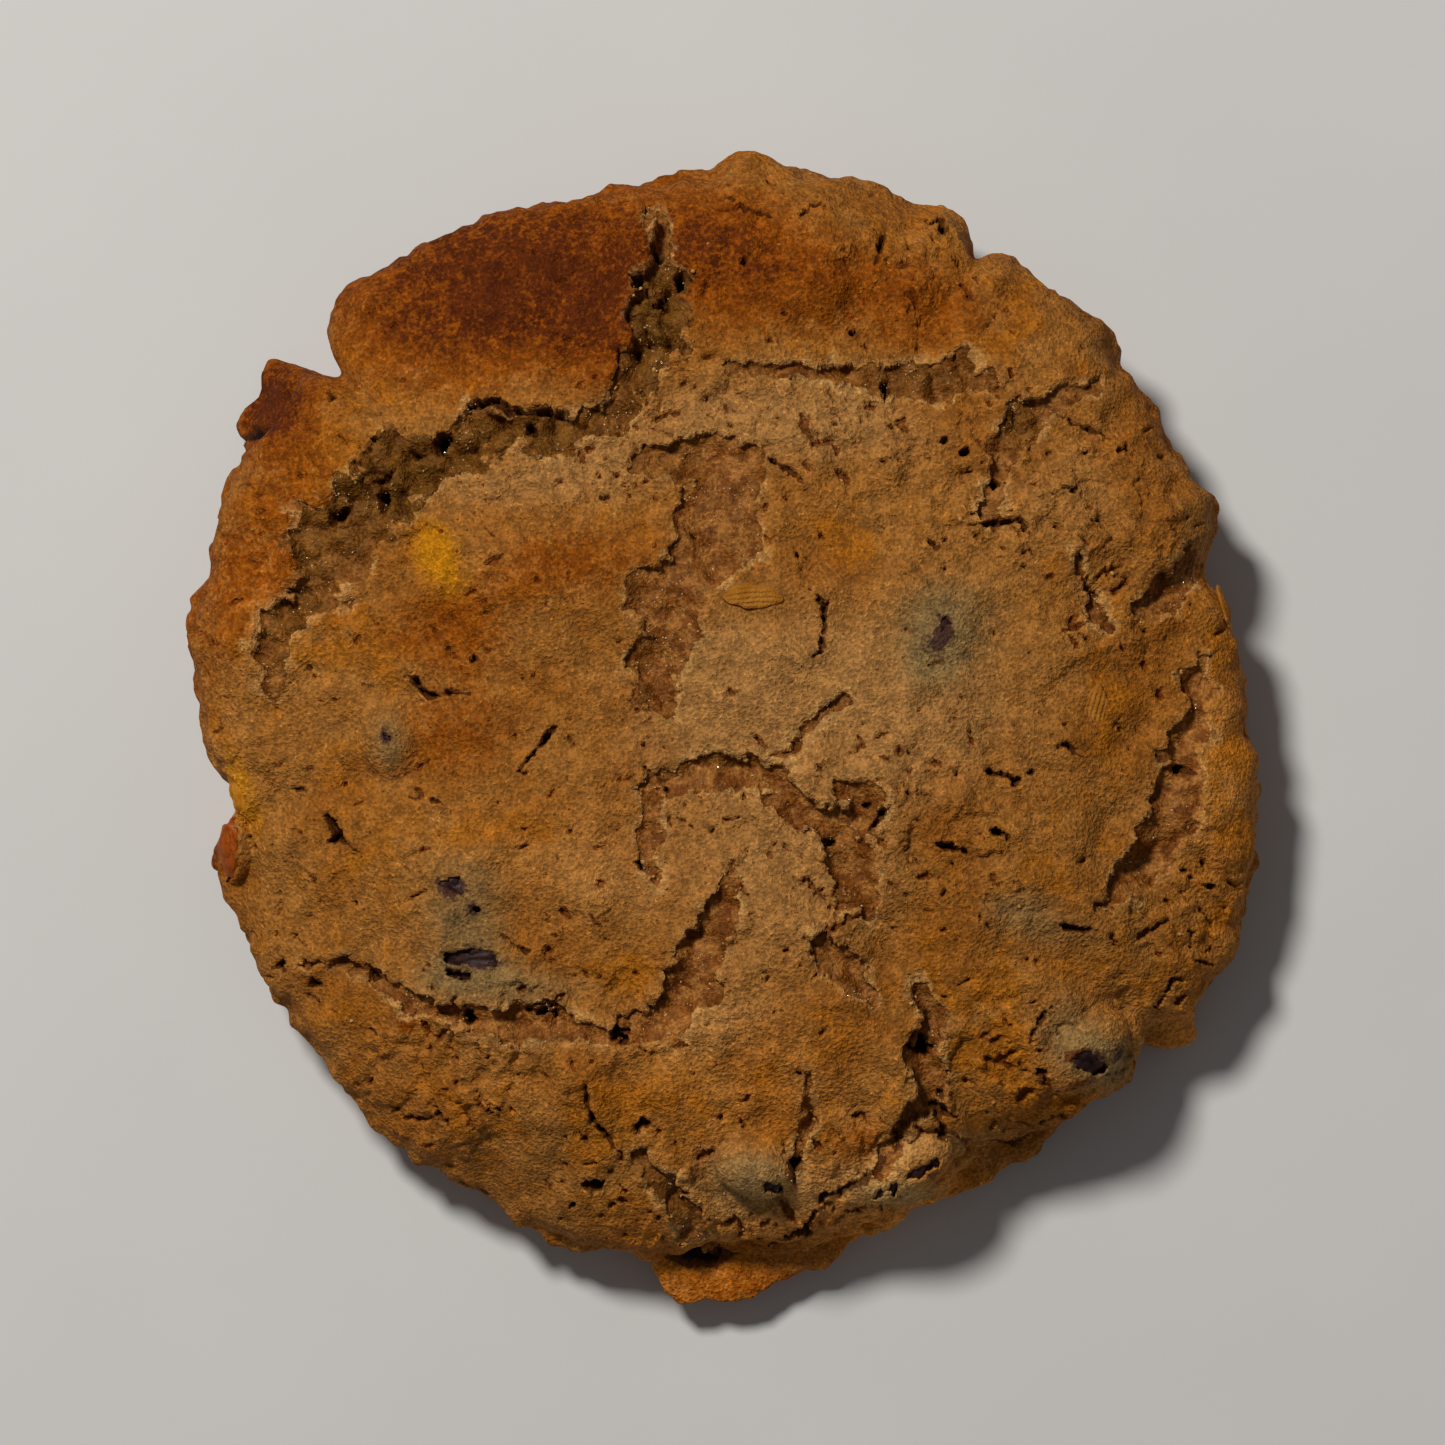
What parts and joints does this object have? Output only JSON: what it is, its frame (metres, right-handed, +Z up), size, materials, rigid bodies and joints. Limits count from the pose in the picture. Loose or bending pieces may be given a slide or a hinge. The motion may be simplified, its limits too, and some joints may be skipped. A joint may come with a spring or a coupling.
{
  "type": "oatmeal raisin cookie",
  "caption": "Thick round oatmeal raisin cookie with a cracked, craggy browned crust, moist crumb in the cracks and dried fruit breaking through.",
  "frame": {"origin": "on the surface the cookie lies on, under the middle of its bounding box", "axes": "+X and +Y in the plane of the table with +Y along the cookie's longer way across, +Z up out of the browned crust"},
  "size_m": [0.0915, 0.0982, 0.0212],
  "materials": {
    "baked_crust": "matte tan baked crust, browned in patches, with moist crumb in the cracks",
    "raisin": "dark wrinkled dried fruit, half glossy",
    "sultana": "golden wrinkled dried fruit, half glossy",
    "candied_peel": "dark orange translucent chip"
  },
  "bodies": {
    "root": {"cookie": "baked_crust", "raisin_east": "raisin", "raisin_west": "raisin", "raisin_southwest_upper": "raisin", "raisin_southwest_lower": "raisin", "raisin_southeast": "raisin", "raisin_south": "raisin", "raisin_south_small": "raisin", "sultana_northwest": "sultana", "sultana_west": "sultana", "peel_west": "candied_peel"}
  },
  "joints": []
}
